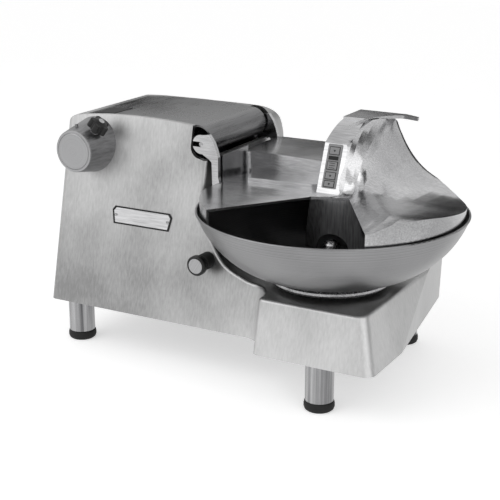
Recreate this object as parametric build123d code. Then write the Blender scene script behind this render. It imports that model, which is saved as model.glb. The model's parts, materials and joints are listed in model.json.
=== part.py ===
from build123d import *
import math
import os

os.makedirs("parts", exist_ok=True)

# Bench-top meat bowl cutter in millimetres, +Z up, -Y the front, +X the bowl side.
# The solids are drawn about the bowl axis with z = 0 under the feet. They are moved on
# export, so that the origin lies under the middle of the machine.

# ---- driving dimensions ----
BOWL_R = 230.0            # 18 in bowl, outside of the rolled rim
RIM_Z = 310.0
LEFT = -537.0             # end wall of the housing
RIGHT = -233.0            # housing wall beside the bowl
REAR = 270.0
FLOOR = 86.0              # underside of the castings above the bench
FOOT_Y = -86.0            # front face at its lower edge
LEAN = 0.2309             # the front face leans back this much per millimetre
CROWN_X, CROWN_Z, CROWN_R = -375.0, 431.0, 1210.0
WALL = 8.0
DECK = 178.0              # top of the base under the bowl
BASE_FRONT, BASE_RIGHT = -148.0, 143.0
ROLL_X, ROLL_R = -262.0, 27.0
ROOF_Y0, ROOF_Y1 = 2.7, 200.0
HINGE_X, HINGE_Z, ROD_R = -247.0, 396.0, 4.5
SHAFT_Y, SHAFT_Z, SHAFT_R = 121.0, 322.0, 10.0
KNIFE_R = 92.0
FIT = 0.05                # radial clearance of running fits
LID_R = 222.0
LID_FOOT = 304.0
LID_OVER = 315.0          # lower edge of the lid where it lies outside the bowl
LID_DECK = 330.0
LID_WALL = 4.0
LID_LEFT = -216.0
PLATEAU_Z = 371.0
FIN_X = -38.0             # left side of the hood
HOOD_Z = 441.0
HUB_X, HUB_Z, HUB_Y = -473.0, 372.0, -80.0
HUB_R0, HUB_R1, PLUG_R = 38.0, 49.0, 33.0
SWITCH_X, SWITCH_Z, SWITCH_Y = -209.0, 204.0, -100.0
DOWN_X, DOWN_Y = -280.0, 71.0
WORM_R, WHEEL_R = 16.0, 33.5
PINION_R, BOWL_GEAR_R = 38.0, 80.0
GEAR_Z0, GEAR_Z1 = 128.0, 142.0
LEGS = {
    "front_left": (-502.0, -38.0),
    "front_right": (37.0, -114.0),
    "rear_right": (45.0, 236.0),
    "rear_left": (-502.0, 236.0),
}
LEG_R = 24.0
SHIFT_X = -(LEFT + BOWL_R) / 2
SHIFT_Y = -(REAR + 12.0 - BOWL_R) / 2


def box(x0, x1, y0, y1, z0, z1):
    return Pos((x0 + x1) / 2, (y0 + y1) / 2, (z0 + z1) / 2) * Box(x1 - x0, y1 - y0, z1 - z0)


def rod_x(x0, x1, r, y=SHAFT_Y, z=SHAFT_Z):
    return Pos((x0 + x1) / 2, y, z) * Rot(0, 90, 0) * Cylinder(r, x1 - x0)


def rod_y(y0, y1, r, x, z):
    return Pos(x, (y0 + y1) / 2, z) * Rot(90, 0, 0) * Cylinder(r, y1 - y0)


def rod_z(z0, z1, r, x=0.0, y=0.0):
    return Pos(x, y, (z0 + z1) / 2) * Cylinder(r, z1 - z0)


def turned(points, place):
    """Turned piece from a radius, height outline, stood on place."""
    face = make_face(Polyline(*[(r, 0, z) for r, z in points], close=True))
    return place * revolve(face, Axis.Z)


def prism(points, axis, low, high):
    """Straight-sided outline pushed along x, y or z from low to high."""
    if axis == "x":
        line = Polyline(*[(0, a, b) for a, b in points], close=True)
        return Pos(low, 0, 0) * extrude(make_face(line), amount=high - low, dir=(1, 0, 0))
    if axis == "y":
        line = Polyline(*[(a, 0, b) for a, b in points], close=True)
        return Pos(0, low, 0) * extrude(make_face(line), amount=high - low, dir=(0, 1, 0))
    line = Polyline(*[(a, b, 0) for a, b in points], close=True)
    return Pos(0, 0, low) * extrude(make_face(line), amount=high - low, dir=(0, 0, 1))


def push(edges, axis, low, high):
    """The same for a closed run of lines and arcs."""
    direction = {"x": (1, 0, 0), "y": (0, 1, 0), "z": (0, 0, 1)}[axis]
    start = Vector(*direction) * low
    return Pos(start) * extrude(make_face(Curve() + edges), amount=high - low, dir=direction)


def face_y(z):
    return FOOT_Y + LEAN * (z - FLOOR)


def crown(x):
    return CROWN_Z - CROWN_R + math.sqrt(CROWN_R**2 - (x - CROWN_X) ** 2)


# ---- housing casting ----
def end_outline(inset):
    """End view of the tall part: upright walls, rounded shoulders and a crowned roof."""
    x0, x1 = LEFT + inset, RIGHT - inset
    r0, r1 = 26 - inset, 30 - inset
    a, b = x0 + r0, x1 - r1
    za, zb = crown(a) - inset, crown(b) - inset
    k = math.sqrt(0.5)
    low = FLOOR - 10
    return [
        ThreePointArc((a, 0, za), (CROWN_X, 0, CROWN_Z - inset), (b, 0, zb)),
        ThreePointArc((b, 0, zb), (b + k * r1, 0, zb - r1 + k * r1), (x1, 0, zb - r1)),
        Polyline((x1, 0, zb - r1), (x1, 0, low), (x0, 0, low), (x0, 0, za - r0)),
        ThreePointArc((x0, 0, za - r0), (a - k * r0, 0, za - r0 + k * r0), (a, 0, za)),
    ]


def leaning_plan(x0, x1, y0, y1, r_left, r_right, low, high):
    """Plan with rounded front corners, pushed up along the lean of the front face."""
    k = 1 - math.sqrt(0.5)
    back = LEAN * (low - FLOOR)
    edges = [
        Polyline((x0, y0 + r_left, 0), (x0, y1, 0), (x1, y1, 0), (x1, y0 + r_right, 0)),
        ThreePointArc((x1, y0 + r_right, 0), (x1 - k * r_right, y0 + k * r_right, 0), (x1 - r_right, y0, 0)),
        Line((x1 - r_right, y0, 0), (x0 + r_left, y0, 0)),
        ThreePointArc((x0 + r_left, y0, 0), (x0 + k * r_left, y0 + k * r_left, 0), (x0, y0 + r_left, 0)),
    ]
    rise = high - low
    length = rise * math.sqrt(1 + LEAN**2)
    solid = extrude(make_face(Curve() + edges), amount=length, dir=(0, LEAN, 1))
    return Pos(0, back, low) * solid


def rear_outline(inset):
    """Side view of the rear: the roof rounds over into the upright rear wall."""
    r = 80 - inset
    y, z = 190, CROWN_Z - 80
    k = math.sqrt(0.5)
    return [
        Polyline((0, -200, FLOOR - 10), (0, -200, CROWN_Z + 5 - inset), (0, y, CROWN_Z + 5 - inset),
                 (0, y, CROWN_Z - inset)),
        ThreePointArc((0, y, z + r), (0, y + k * r, z + k * r), (0, y + r, z)),
        Polyline((0, y + r, z), (0, y + r, FLOOR - 10), (0, -200, FLOOR - 10)),
    ]


def block(inset, low):
    solid = push(end_outline(inset), "y", -200, REAR + 5)
    r = 12 - inset / 2
    solid &= leaning_plan(LEFT + inset, RIGHT - inset, FOOT_Y + inset, 420, r, 8, low, CROWN_Z + 20)
    solid &= push(rear_outline(inset), "x", LEFT - 5, RIGHT + 5)
    return solid


SWEEP = [(RIGHT, 305), (-204, 236), (-172, 199), (-136, 183.5), (-105, DECK)]


def base_profile(inset, low):
    """End view of the base: a hollow sweep from the wall down to the deck."""
    pts = [(x - inset, 0, z - inset * 0.6) for x, z in SWEEP[:3]]
    pts += [(x - inset, 0, z - inset) for x, z in SWEEP[3:]]
    slope = (BASE_RIGHT - 120) / (DECK - FLOOR)
    top = DECK - inset
    right = BASE_RIGHT - inset
    return [
        Spline(*pts, tangents=((0, 0, -1), (1, 0, 0))),
        Polyline(pts[-1], (right - slope * (top - FLOOR), 0, top), (right + slope * (FLOOR - low), 0, low),
                 (-300, 0, low), (-300, 0, pts[0][2]), pts[0]),
    ]


def base_plan(inset, low, high):
    """Plan of the base with the hollow cove beside the front face."""
    r, fy = 49 + inset, FOOT_Y + inset
    cx = -74 + inset - r
    k = math.sqrt(0.5)
    corner = 12 - inset
    front = BASE_FRONT + inset
    left = -74 + inset
    right = BASE_RIGHT + 10
    waist = -22
    edges = [
        Line((-300, fy, 0), (cx, fy, 0)),
        ThreePointArc((cx, fy, 0), (cx + k * r, fy - r + k * r, 0), (left, fy - r, 0)),
        Line((left, fy - r, 0), (left, front + corner, 0)),
        ThreePointArc((left, front + corner, 0), (left + (1 - k) * corner, front + (1 - k) * corner, 0),
                      (left + corner, front, 0)),
        Polyline((left + corner, front, 0), (right, front, 0), (right, waist, 0),
                 (BASE_RIGHT - inset, waist, 0), (98 - inset, REAR - inset, 0), (-300, REAR - inset, 0),
                 (-300, fy, 0)),
    ]
    solid = extrude(make_face(Curve() + edges), amount=(high - low) * math.sqrt(1 + LEAN**2), dir=(0, LEAN, 1))
    return Pos(0, LEAN * (low - FLOOR), low) * solid


def base(inset, low):
    solid = push(base_profile(inset, low), "y", -200, REAR - inset)
    return solid & base_plan(inset, low, 320)


def shell():
    low = base(0, FLOOR)
    upright = [e for e in low.edges() if e.length > 60 and e.center().X > 90 and e.center().Y < 20]
    upright = [e for e in upright if abs((e % 0.5).Z) > 0.8]
    low = fillet(upright, 20)
    try:
        top = [e for e in low.edges() if abs(e.center().Z - DECK) < 0.6 and e.center().X > -60]
        top = [e for e in top if abs((e % 0.5).Z) < 0.1 and e.center().Y < 200]
        low = fillet(top, 6)
    except ValueError as problem:
        print("deck edge left square:", problem)
    outer = block(0, FLOOR) + low
    inner = block(WALL, FLOOR - 8) + base(WALL, FLOOR - 8)
    return outer - inner


def crown_strip(x0, x1, y0, y1, top, bottom):
    """Ledge under the roof that follows the crown."""
    mid = (x0 + x1) / 2
    edges = [
        ThreePointArc((x0, 0, crown(x0) - top), (mid, 0, crown(mid) - top), (x1, 0, crown(x1) - top)),
        Line((x1, 0, crown(x1) - top), (x1, 0, crown(x1) - bottom)),
        ThreePointArc((x1, 0, crown(x1) - bottom), (mid, 0, crown(mid) - bottom), (x0, 0, crown(x0) - bottom)),
        Line((x0, 0, crown(x0) - bottom), (x0, 0, crown(x0) - top)),
    ]
    return push(edges, "y", y0, y1)


def housing():
    body = shell()
    # opening under the roof cover, down to the lower wall beside the bowl
    body -= box(-500, RIGHT + 5, ROOF_Y0, ROOF_Y1 + 0.4, 380, CROWN_Z + 10)
    body -= box(-272, RIGHT + 5, ROOF_Y0, ROOF_Y1 + 0.4, 371, CROWN_Z + 10)
    body += crown_strip(-508, -272, -2, 14, 5, 11)
    body += crown_strip(-508, -272, 190, 203, 5, 11)
    body += crown_strip(-509, -490, 5, 200, 5, 11)
    # rear part of the roof casting has its own front wall behind the hook
    cheek = box(-505, RIGHT - 2, 217, 225, 360, CROWN_Z + 10) & block(2, FLOOR)
    body += cheek
    # recesses for the two hooks of the lid
    notch = [
        ThreePointArc((-267, 0, 393), (-260, 0, 377), (-247, 0, 371.5)),
        ThreePointArc((-247, 0, 371.5), (-240, 0, 369.5), (RIGHT + 6, 0, 369)),
        Polyline((RIGHT + 6, 0, 369), (RIGHT + 6, 0, 470), (-267, 0, 470), (-267, 0, 393)),
    ]
    body -= push(notch, "y", -60, ROOF_Y0)
    body -= box(-268, RIGHT + 5, ROOF_Y1 + 0.4, 217, 368, 470)
    # leg bosses
    for x, y in LEGS.values():
        boss = rod_z(FLOOR, FLOOR + 26, 30, x, y)
        body += boss & (block(2, FLOOR) + base(2, FLOOR))
    for x, y in LEGS.values():
        body -= rod_z(FLOOR - 1, FLOOR + 22, 8.0, x, y)
    # saddles for the motor on the rear wall
    for x in (-412, -356):
        rib = box(x, x + 10, 130, REAR - WALL + 1, 232, 316)
        body += rib - rod_x(x - 1, x + 11, 75.0)
    # openings for hub, switch, knife bearing, spindle, cable and hinge rod
    body -= rod_y(-70, 10, 30.0, HUB_X, HUB_Z)
    body -= rod_y(-90, -30, 11.0, SWITCH_X, SWITCH_Z)
    body -= rod_x(RIGHT - 20, RIGHT + 10, 20.0)
    body -= rod_z(DECK - 20, DECK + 5, 28.0)
    body -= rod_y(REAR - 20, REAR + 5, 9.0, -420, 130)
    body -= rod_y(216, 232, ROD_R, HINGE_X, HINGE_Z)
    return body


# ---- fixed pieces on the housing ----
def roof_cover():
    zr = crown(ROLL_X)
    cx, cz = ROLL_X, zr - ROLL_R
    end, half = math.radians(-55), math.radians(18)

    def at(r, a):
        return (cx + r * math.cos(a), 0, cz + r * math.sin(a))

    x0 = -499.7
    mid = (x0 + cx) / 2
    inner = ROLL_R - 3
    edges = [
        ThreePointArc((x0, 0, crown(x0)), (mid, 0, crown(mid)), (cx, 0, zr)),
        ThreePointArc((cx, 0, zr), at(ROLL_R, half), at(ROLL_R, end)),
        Line(at(ROLL_R, end), at(inner, end)),
        ThreePointArc(at(inner, end), at(inner, half), (cx, 0, zr - 3)),
        Line((cx, 0, zr - 3), (cx - 10, 0, crown(cx - 10) - 5)),
        ThreePointArc((cx - 10, 0, crown(cx - 10) - 5), (mid, 0, crown(mid) - 5), (x0, 0, crown(x0) - 5)),
        Line((x0, 0, crown(x0) - 5), (x0, 0, crown(x0))),
    ]
    return push(edges, "y", ROOF_Y0 + 0.3, ROOF_Y1)


def hinge_brackets():
    group = []
    for y0 in (14, 188):
        arm = prism([(RIGHT - WALL, 330), (RIGHT - WALL - 8, 330), (-256, 366), (-261, 384), (-253, 400),
                     (HINGE_X, 396), (-250.8, 384), (-250.8, 371), (RIGHT - WALL, 360)], "y", y0, y0 + 8)
        arm += rod_y(y0, y0 + 8, 7.5, HINGE_X, HINGE_Z)
        arm += box(RIGHT - WALL - 4, RIGHT - WALL, y0 - 8, y0 + 16, 330, 366)
        group.append(arm - rod_y(y0 - 1, y0 + 9, ROD_R, HINGE_X, HINGE_Z))
    return group[0] + group[1]


def on_face(x, z):
    """Frame on the leaning front face: X to the right, Y up the face, Z out of it."""
    up = Vector(0, LEAN, 1).normalized()
    return Plane(origin=(x, face_y(z), z), x_dir=(1, 0, 0), z_dir=Vector(1, 0, 0).cross(up)).location


PLATE_OUT = [(-63.5, 9), (-58, 16), (58, 16), (63.5, 9), (58.5, -16), (-58.5, -16)]


def front_plate():
    sheet = extrude(make_face(Polyline(*[(x, y, 0) for x, y in PLATE_OUT], close=True)), amount=1.5)
    inner = [(x * 0.955, y * 0.84) for x, y in PLATE_OUT]
    sheet -= Pos(0, 0, 1.0) * extrude(make_face(Polyline(*[(x, y, 0) for x, y in inner], close=True)), amount=1)
    holes = [Pos(s * 55, 0, 0) * Cylinder(1.6, 8) for s in (-1, 1)]
    for h in holes:
        sheet -= h
    return on_face(-353, 256) * sheet


def plate_rivets():
    rivets = [Pos(s * 55, 0, 1.0) * (Cylinder(1.6, 2.0) + Pos(0, 0, 1.2) * Cone(2.6, 1.4, 0.9)) for s in (-1, 1)]
    return on_face(-353, 256) * rivets[0] + on_face(-353, 256) * rivets[1]


def data_plate():
    x0, x1 = -486, -440
    mid = (x0 + x1) / 2
    edges = [
        ThreePointArc((x0, 0, crown(x0)), (mid, 0, crown(mid)), (x1, 0, crown(x1))),
        Line((x1, 0, crown(x1)), (x1, 0, crown(x1) + 0.8)),
        ThreePointArc((x1, 0, crown(x1) + 0.8), (mid, 0, crown(mid) + 0.8), (x0, 0, crown(x0) + 0.8)),
        Line((x0, 0, crown(x0) + 0.8), (x0, 0, crown(x0))),
    ]
    return push(edges, "y", 6, 62)


def thumb_place():
    return Pos(HUB_X, -50, HUB_Z) * Rot(0, 38, 0)


def attachment_hub():
    long = HUB_R0 + (HUB_R1 - HUB_R0) * (0 - HUB_Y) / 60
    cone = Pos(HUB_X, HUB_Y / 2, HUB_Z) * Rot(-90, 0, 0) * Cone(HUB_R0, long, -HUB_Y)
    high = 520
    cone &= prism([(-200, 200), (face_y(200), 200), (face_y(high), high), (-200, high)], "x", -560, -380)
    cone = fillet(cone.edges().sort_by(Axis.Y)[:1], 2)
    cone += rod_y(-40, 2, 30.0, HUB_X, HUB_Z) & prism([(-60, 300), (face_y(300) + 8, 300),
                                                     (face_y(460) + 8, 460), (-60, 460)], "x", -520, -420)
    cone += thumb_place() * Pos(0, 0, 40) * Cylinder(9, 14)
    cone += Pos(HUB_X, -62, HUB_Z) * Rot(0, -6, 0) * Pos(0, 0, 42) * Cylinder(3, 8)
    cone -= rod_y(-100, -30, PLUG_R, HUB_X, HUB_Z)
    cone -= rod_y(-60, 20, 17.0, HUB_X, HUB_Z)
    return cone - thumb_place() * Pos(0, 0, 40) * Cylinder(5 + FIT, 40)


def hub_plug():
    r = PLUG_R - FIT
    pts = [(0, 0), (r - 1.5, 0), (r, 1.5), (r, 34), (r - 4, 34), (r - 4, 8), (0, 8)]
    return turned(pts, Pos(HUB_X, HUB_Y - 2, HUB_Z) * Rot(-90, 0, 0))


def hub_thumb_screw():
    stem = Pos(0, 0, 42.6) * Cylinder(5, 17)
    lobes = Circle(14) + [Rot(0, 0, 72 * i) * Pos(13, 0) * Circle(6) for i in range(5)]
    knob = Pos(0, 0, 49) * extrude(lobes, amount=16)
    knob = chamfer(knob.edges().group_by(Axis.Z)[-1], 1.5)
    return thumb_place() * (stem + knob + Pos(0, 0, 66.5) * Cone(12, 6, 3))


def leg(x, y):
    pts = [(0, 16), (LEG_R - 1, 16), (LEG_R, 17), (LEG_R, FLOOR), (8, FLOOR), (8, FLOOR + 20), (0, FLOOR + 20)]
    return turned(pts, Pos(x, y, 0))


def foot(x, y):
    pts = [(0, 0), (22, 0), (24.5, 2), (26, 6), (26, 11), (25, 15), (24, 16), (0, 16)]
    return turned(pts, Pos(x, y, 0))


def bottom_cover():
    pts = [(-522, face_y(FLOOR) + 10), (-66, -76), (-60, -136), (128, -136), (128, -20), (86, 256), (-522, 256)]
    sheet = prism(pts, "z", FLOOR, FLOOR + 4)
    for x, y in LEGS.values():
        sheet -= rod_z(FLOOR - 1, FLOOR + 5, 30.5, x, y)
    for x, y in ((DOWN_X, DOWN_Y), (IDLER_X, IDLER_Y)):
        sheet += rod_z(FLOOR, FLOOR + 24, 18, x, y)
    sheet -= rod_z(FLOOR + 6, FLOOR + 26, 10 + FIT, DOWN_X, DOWN_Y)
    return sheet - rod_z(FLOOR + 6, FLOOR + 26, 8, IDLER_X, IDLER_Y)


def knife_bearing_housing():
    tube = rod_x(RIGHT - WALL, -214, 20.0) + rod_x(RIGHT - WALL - 8, RIGHT - WALL, 34)
    tube -= rod_x(-260, -200, 13)
    return tube - rod_x(-240, -222, 17)


# ---- bearings, gears and worms ----
def bearing(place, r_in, r_out, width):
    """Ball bearing about Z: two rings joined by the balls' cage ring."""
    mid = (r_in + r_out) / 2
    gap = (r_out - r_in) * 0.16
    pts = [(r_in, 0), (mid - gap, 0), (mid - gap, 1.2), (mid + gap, 1.2), (mid + gap, 0), (r_out, 0),
           (r_out, width), (mid + gap, width), (mid + gap, width - 1.2), (mid - gap, width - 1.2),
           (mid - gap, width), (r_in, width)]
    return turned(pts, place)


def along_x(x, y=SHAFT_Y, z=SHAFT_Z):
    return Pos(x, y, z) * Rot(0, 90, 0)


def gear(place, r, teeth, bore, width):
    """Spur or worm wheel about Z with straight tapered teeth and a thinner web."""
    root = r - 4.2
    step = 2 * math.pi / teeth
    pts = []
    for i in range(teeth):
        for rr, part in ((root, 0.0), (root, 0.30), (r, 0.42), (r, 0.88)):
            a = step * (i + part)
            pts.append((rr * math.cos(a), rr * math.sin(a)))
    solid = prism(pts, "z", 0, width)
    if root - 8 > bore + 14:
        groove = Circle(root - 7) - Circle(bore + 9)
        solid -= extrude(groove, amount=width * 0.28)
        solid -= Pos(0, 0, width * 0.72) * extrude(groove, amount=width * 0.3)
    solid -= Pos(0, 0, -1) * extrude(Circle(bore), amount=width + 2)
    return place * solid


def worm(x0, length, bore):
    core = WORM_R - 5
    count = int(length // 8)
    pts = [(bore, 0), (core, 0)]
    for i in range(count):
        z = i * 8
        pts += [(core, z + 1), (WORM_R, z + 3), (WORM_R, z + 5), (core, z + 7)]
    pts += [(core, length), (bore, length)]
    return turned(pts, along_x(x0))


DIST = math.hypot(DOWN_X, DOWN_Y)
IDLER_R = (DIST - PINION_R - BOWL_GEAR_R - 0.8) / 2
IDLER_T = 1 - (PINION_R + IDLER_R + 0.4) / DIST
IDLER_X, IDLER_Y = DOWN_X * IDLER_T, DOWN_Y * IDLER_T


# ---- bowl ----
def bowl():
    line = [
        ThreePointArc((227.6, 0, 307.5), (189, 0, 246.5), (95, 0, 200.2)),
        ThreePointArc((95, 0, 200.2), (62, 0, 206), (30, 0, 226)),
        Line((30, 0, 226), (14, 0, 238)),
    ]
    t = 1.1
    out = []
    for sign in (1, -1):
        pts = []
        for e in line:
            for i in range(9):
                p, d = e @ (i / 8), e % (i / 8)
                pts.append((p.X - sign * t * d.Z * -1, p.Z - sign * t * d.X))
        out.append(pts)
    # the two skins of the sheet are offset arcs of the same three runs
    def run(pts):
        return [
            ThreePointArc((pts[0][0], 0, pts[0][1]), (pts[4][0], 0, pts[4][1]), (pts[8][0], 0, pts[8][1])),
            ThreePointArc((pts[9][0], 0, pts[9][1]), (pts[13][0], 0, pts[13][1]), (pts[17][0], 0, pts[17][1])),
            Line((pts[18][0], 0, pts[18][1]), (pts[26][0], 0, pts[26][1])),
        ]
    a, b = run(out[0]), run(out[1])
    edges = a + b
    edges.append(Line(a[0] @ 0, b[0] @ 0))
    for left, right in ((a[0], a[1]), (a[1], a[2]), (b[0], b[1]), (b[1], b[2])):
        if (left @ 1 - right @ 0).length > 0.001:
            edges.append(Line(left @ 1, right @ 0))
    edges.append(Line(a[2] @ 1, b[2] @ 1))
    sheet = revolve(make_face(Curve() + edges), Axis.Z)
    bead = Pos(227.9, 0, 308.3) * Rot(90, 0, 0) * Circle(2.1)
    return sheet + revolve(bead, Axis.Z)


def bowl_nut():
    dome = [(15 * math.cos(math.radians(a)), 246 + 11 * math.sin(math.radians(a))) for a in range(0, 90, 15)]
    return turned([(0, 232), (11, 232), (11, 241.5), (15, 241.5)] + dome + [(0, 257)], Pos(0, 0, 0))


def turntable():
    pts = [(12, 184), (95, 184), (101, 186.5), (103, 190), (103, 194), (99.5, 196.5), (97, 195), (93, 189),
           (28, 189), (22, 196), (20, 219), (12, 226)]
    return turned(pts, Pos(0, 0, 0))


# ---- lid over the bowl ----
WEDGE = [(-33.0, -14.0), (26.0, 8.0)]
WEDGE_DIR = [(-0.583, -0.812), (0.519, -0.855)]


def smooth(t):
    t = max(0.0, min(1.0, t))
    return t * t * (3 - 2 * t)


def wedge(grow, z0, z1):
    """Open front of the lid, widened by grow on all sides."""
    (ax, ay), (bx, by) = WEDGE
    (ux, uy), (vx, vy) = WEDGE_DIR
    a = (ax + uy * grow, ay - ux * grow + grow * 0.5)
    b = (bx - vy * grow, by + vx * grow + grow * 0.5)
    pts = [a, b, (b[0] + vx * 330, b[1] + vy * 330), (a[0] + ux * 330, a[1] + uy * 330)]
    return prism(pts, "z", z0, z1)


def hood_height(x, y):
    """Top of the hood over the knives and of the saddle that falls from it to the rim."""
    (bx, by), (vx, vy) = WEDGE[1], WEDGE_DIR[1]
    inside = (x - bx) * -vy + (y - by) * vx
    fall = max(-16.0, 13 - 0.13 * max(0.0, y + 95))
    edge = LID_DECK + smooth(inside / 50) * fall
    wall = 5 + max(0.0, y - 45) * 0.2
    side = math.exp(-max(0.0, x - wall) / 46)
    ridge = HOOD_Z - 20 * (max(0.0, 150 - max(y, 20)) / 84) ** 2.2
    ridge -= (ridge - LID_DECK - 6) * smooth((y - 185) / 39)
    start = 16 - 30 * smooth((8 - x) / 22) - 0.38 * max(0.0, x - 5) - 1.27 * max(0.0, x - 26)
    width = 35 + 1.2 * max(0.0, x - 5)
    front = smooth((y - start) / width)
    return edge + max(0.0, ridge - edge) * side * front


def hood_point(x, y, inset):
    """Point of the hood skin; the inner skin lies lower by the slope of the outer one."""
    e = 0.5
    gx = (hood_height(x + e, y) - hood_height(x - e, y)) / (2 * e)
    gy = (hood_height(x, y + e) - hood_height(x, y - e)) / (2 * e)
    drop = min(13.0, inset * math.sqrt(1 + gx * gx + gy * gy))
    return Vector(x, y, hood_height(x, y) - drop)


HOOD_X = [-60, -30, 2, 8, 14, 20, 27, 35, 44, 54, 65, 78, 92, 108, 126, 146, 168, 190, 212, 236]
HOOD_Y = [-236, -205, -172, -138, -105, -76, -50, -28, -10, 6, 20, 34, 48, 64, 84, 108, 134, 160, 180, 196,
          212, 236]


def hood_mass(inset):
    """Sections across the hood, each a curve over straight sides, lofted along x."""
    sections = []
    for x in HOOD_X:
        pts = [hood_point(x, y, inset) for y in HOOD_Y]
        sides = Polyline(pts[-1], (x, HOOD_Y[-1], 200), (x, HOOD_Y[0], 200), pts[0])
        sections.append(make_face(Curve() + [Spline(*pts), sides]))
    return loft(sections, ruled=True)


def hood_front(t):
    """Region in front of the flat label strip, to be cut away."""
    n = math.sqrt(1 + 0.3976**2) * t
    z0, z1 = LID_DECK + 0.5 - t, 470
    y0 = 17 + n + 0.3976 * (z0 - 332)
    return prism([(-60, z0), (y0, z0), (y0 + 0.3976 * (z1 - z0), z1), (-60, z1)], "x", FIN_X - 30, 5)


def lid_plan(t, low):
    """Plateau behind the deck, out to the upright left wall."""
    r = 14 - t / 2
    x0, y1 = LID_LEFT + t, LID_R - 4 - t
    k = 1 - math.sqrt(0.5)
    edges = [
        Polyline((x0, 85 + t, 0), (x0, y1 - r, 0)),
        ThreePointArc((x0, y1 - r, 0), (x0 + k * r, y1 - k * r, 0), (x0 + r, y1, 0)),
        Polyline((x0 + r, y1, 0), (FIN_X + t, y1, 0), (FIN_X + t, 70 + t, 0), (x0, 85 + t, 0)),
    ]
    solid = push(edges, "z", low, PLATEAU_Z - t)
    over = prism([(-240, 0), (-100, 0), (-62, 260), (-240, 260)], "z", low - 1, 500)
    return solid & (over + rod_z(low - 1, 500, LID_R - t))


def lid_mass(t):
    low = LID_FOOT if t == 0 else LID_FOOT - 20
    high = LID_OVER if t == 0 else LID_OVER - 31
    disc = rod_z(low, LID_DECK - t, LID_R - t)
    left = disc & box(LID_LEFT + t, FIN_X + t, -260, 260, 200, 500)
    upper = lid_plan(t, high)
    left += upper
    step = prism([(-175 + t, 24 + t), (-56, 32 + t), (FIN_X + t, 45 + t), (FIN_X + t, 80), (-205, 92),
                  (-188 + t, 60)], "z", low, 338 - t)
    left += step & rod_z(low, 500, LID_R - t)
    right = hood_mass(t) & rod_z(low, 500, LID_R - t)
    right &= box(FIN_X + t, 260, -260, 260, low, 500)
    right -= hood_front(t)
    return left + right


def hook(y0, y1, reach):
    """Hinge hook: round head with a slot, a narrow neck and a flared foot on the lid."""
    x, z = HINGE_X, HINGE_Z
    head = rod_y(y0, y1, 17, x, z)
    pts = [(x + 3, z + 16.7), (x + 16, z + 18.5), (x + 25, z + 6), (x + 31, z - 9), (x + 34, z - 20),
           (x + 34, 340), (x + 38, 326), (x + reach, 318), (x + reach, 312), (x + 26, 312), (x + 22, 326),
           (x + 21, z - 30), (x + 16, z - 25), (x + 2, z - 16.9)]
    body = head + prism(pts, "y", y0, y1)
    slot = box(x - 25, x, y0 - 1, y1 + 1, z - ROD_R - FIT, z + ROD_R + FIT)
    return body - slot - rod_y(y0 - 1, y1 + 1, ROD_R + FIT, x, z)


def bowl_cover():
    lid = lid_mass(0) - lid_mass(LID_WALL)
    lid -= wedge(0, 200, 500) - box(-60, 60, 14, 300, 200, 500)
    # raised wall on the left of the deck and the upright rib in its corner
    lid += box(LID_LEFT, LID_LEFT + LID_WALL, 0, 92, LID_OVER, 378)
    lid += rod_z(LID_DECK - 2, PLATEAU_Z - 0.5, 7, -206, 84)
    # lip along the top of the hood, wider than the hood on the right
    lip = [
        Spline((4, 52, 0), (22, 150, 0), (47, 174, 0), (81, 167, 0), tangents=((0.05, 1, 0), (1, -0.25, 0))),
        Polyline((81, 167, 0), (80, 176, 0), (52, 190, 0), (FIN_X + 0.5, 192, 0), (FIN_X + 0.5, 118, 0),
                 (4, 118, 0), (4, 52, 0)),
    ]
    lid += push(lip, "z", HOOD_Z - 3.5, HOOD_Z + 2) - lid_mass(LID_WALL)
    # passage in the left wall for the nose of the knife bearing, open downwards
    lid -= rod_x(-240, -190, 24) + box(-240, -190, SHAFT_Y - 24, SHAFT_Y + 24, 250, SHAFT_Z)
    lid += hook(-14, -6, 40)
    lid += hook(205, 213, 40)
    return lid


def lid_baffle():
    """Baffle that hangs from the back of the opening down to the trough of the bowl."""
    top, low = LID_DECK - 4.0, 232.0
    plan = [
        ThreePointArc((-46, -6, 0), (-4, 2, 0), (38, 6, 0)),
        Line((38, 6, 0), (38, 9, 0)),
        ThreePointArc((38, 9, 0), (-4, 5, 0), (-46, -3, 0)),
        Line((-46, -3, 0), (-46, -6, 0)),
    ]
    sheet = Pos(0, 10, 0) * push(plan, "z", low, top)
    side = prism([(-34, top), (2, top), (27, top - 1), (39, low), (-47, low)], "y", -40, 60)
    sheet &= side
    arch = rod_y(-40, 60, 29, 0, 236) + box(-29, 29, -40, 60, 200, 236)
    return sheet - arch - rod_z(200, 236, 36)


def cover_label():
    plate = extrude(RectangleRounded(26, 76, 2), amount=1.2)
    bars = [Pos(0, y, 1.2) * extrude(RectangleRounded(w, 5, 1), amount=0.3)
            for y, w in ((-28, 14), (-16, 18), (14, 16), (27, 18))]
    for b in bars:
        plate += b
    n = Vector(0, -1, 0.3976).normalized()
    place = Plane(origin=(-17, 17 + 0.3976 * (374 - 332) - 0.0, 374), x_dir=(1, 0, 0), z_dir=n).location
    return place * plate


# ---- knives ----
def knife(x, turn):
    """Curved knife that sweeps round the shaft to the full radius."""
    hub = Circle(22)
    outer = Spline((-10, 20), (34, 44), (70, 26), (KNIFE_R, -4), tangents=((1, 0.9), (0.25, -1)))
    inner = Spline((KNIFE_R, -4), (66, 2), (40, 2), (16, -16), tangents=((-0.7, 0.8), (-0.6, -1)))
    blade = make_face(Curve() + [outer, inner, Line((16, -16), (-10, 20))])
    face = (hub + blade) & Circle(KNIFE_R)
    face = face - Circle(SHAFT_R)
    return along_x(x) * Rot(0, 0, turn) * extrude(face, amount=4)


pieces = {}


def keep(name, solid):
    pieces[name] = solid


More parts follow.
